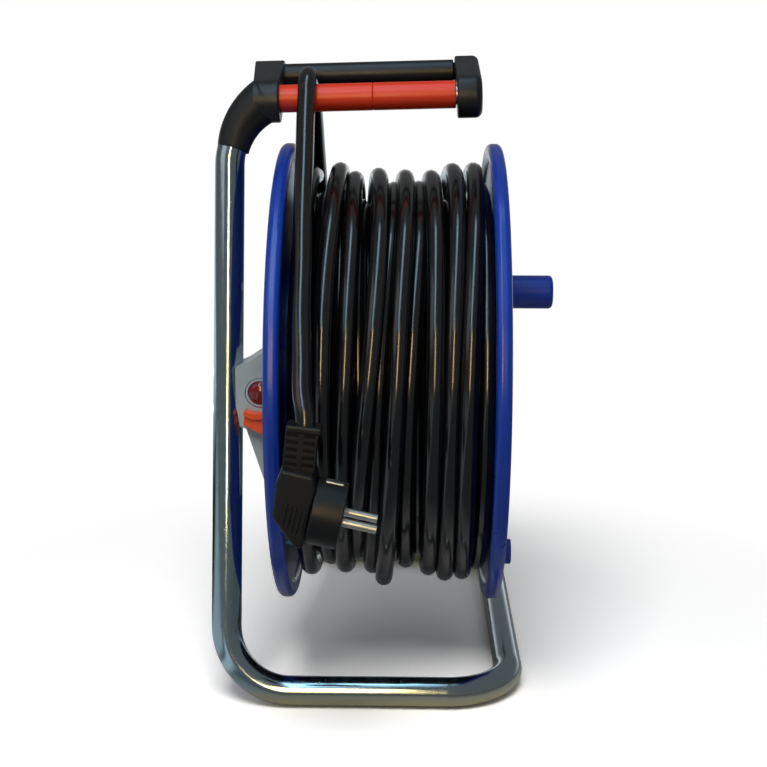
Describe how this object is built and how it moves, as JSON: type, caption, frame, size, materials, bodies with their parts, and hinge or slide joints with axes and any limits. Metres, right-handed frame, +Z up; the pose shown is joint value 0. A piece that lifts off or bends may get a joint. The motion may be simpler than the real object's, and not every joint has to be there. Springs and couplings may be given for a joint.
{
  "type": "extension cord reel",
  "caption": "Free-standing extension cord reel: flanged drum of wound cord on a bent tube frame with a handle, winding knob, lidded hub sockets, reset button, brake lever and loose plug.",
  "frame": {"origin": "on the floor, under the middle of the object's box without the loose cord and plug", "axes": "+X along the drum axis from the sockets to the winding knob, +Y to the rear rail, +Z up; the picture is taken from -Y"},
  "size_m": [0.219, 0.3592, 0.3858],
  "materials": {
    "zinc_tube": "bright zinc-plated tube",
    "steel": "plain steel",
    "black_plastic": "matte",
    "grip_red": "smooth",
    "hub_grey": "satin",
    "socket_red": "smooth",
    "button_red": "glossy",
    "lever_orange": "smooth",
    "brass": "bright",
    "carbon": "matte",
    "drum_blue": "glossy",
    "bush_white": "smooth",
    "cord_black": "soft sheen",
    "plug_black": "satin",
    "pin_nickel": "nickel plated"
  },
  "bodies": {
    "frame": {"frame_upper_tube": "zinc_tube", "frame_lower_tube": "zinc_tube", "tube_spigot": "steel", "spigot_rivets": "steel", "tube_end_plug": "black_plastic", "elbow_sleeve": "black_plastic", "cap_left": "black_plastic", "cap_right": "black_plastic", "rear_bar": "black_plastic", "grip_rod": "steel", "grip_left": "grip_red", "grip_right": "grip_red", "handle_screws": "steel", "hub_shell": "hub_grey", "saddle_screws": "steel", "socket_inserts": "socket_red", "contact_sleeves": "brass", "earth_clips": "brass", "lid_pins": "steel", "hub_back": "black_plastic", "back_screws": "steel", "brush_block": "black_plastic", "brushes": "carbon", "axle": "steel", "axle_nut": "steel", "cutout": "black_plastic", "button_ring": "hub_grey", "lever_pin": "steel", "cord_free": "cord_black", "plug_relief": "plug_black", "plug_body": "plug_black", "plug_face": "plug_black", "plug_pins": "pin_nickel", "plug_earths": "brass"},
    "drum": {"flange_left": "drum_blue", "flange_right": "drum_blue", "drum_core": "drum_blue", "core_screws": "steel", "bushes": "bush_white", "slip_disc": "black_plastic", "slip_rings": "brass", "cord_clamp": "black_plastic", "clamp_screws": "steel", "centre_cover": "drum_blue", "cord_peg": "drum_blue", "knob_pin": "steel", "cord_bed": "cord_black", "cord_layer": "cord_black", "cord_tail": "cord_black"},
    "knob": {"winding_knob": "drum_blue", "knob_cap": "drum_blue"},
    "lid_top": {"lid_top": "socket_red"},
    "lid_rear": {"lid_rear": "socket_red"},
    "lid_bottom": {"lid_bottom": "socket_red"},
    "reset_button": {"reset_button": "button_red"},
    "brake_lever": {"brake_lever": "lever_orange"}
  },
  "joints": [
    {"name": "drum_spin", "type": "hinge", "parent": "frame", "child": "drum", "pos_m": [-0.003, -0.0145, 0.1865], "axis": [1, 0, 0], "continuous": true},
    {"name": "knob_spin", "type": "hinge", "parent": "drum", "child": "knob", "pos_m": [0.087, 0.08007, 0.22471], "axis": [1, 0, 0], "continuous": true},
    {"name": "lid_top_swing", "type": "hinge", "parent": "frame", "child": "lid_top", "pos_m": [-0.076, 0.00093, 0.24407], "axis": [0, 0.9659, -0.2588], "range_deg": [0, 105], "stiffness_Nm_per_rad": 0.02, "springref_deg": -20.05},
    {"name": "lid_rear_swing", "type": "hinge", "parent": "frame", "child": "lid_rear", "pos_m": [-0.076, 0.0451, 0.1865], "axis": [0, 0, -1], "range_deg": [0, 105], "stiffness_Nm_per_rad": 0.02, "springref_deg": -20.05},
    {"name": "lid_bottom_swing", "type": "hinge", "parent": "frame", "child": "lid_bottom", "pos_m": [-0.076, 0.00093, 0.12893], "axis": [0, -0.9659, -0.2588], "range_deg": [0, 105], "stiffness_Nm_per_rad": 0.02, "springref_deg": -20.05},
    {"name": "reset_press", "type": "slide", "parent": "frame", "child": "reset_button", "axis": [0, 1, 0], "range_m": [0, 0.0025], "stiffness_N_per_m": 400},
    {"name": "brake_turn", "type": "hinge", "parent": "frame", "child": "brake_lever", "pos_m": [-0.082, -0.0879, 0.171], "axis": [0, 1, 0], "range_deg": [0, 30]}
  ]
}
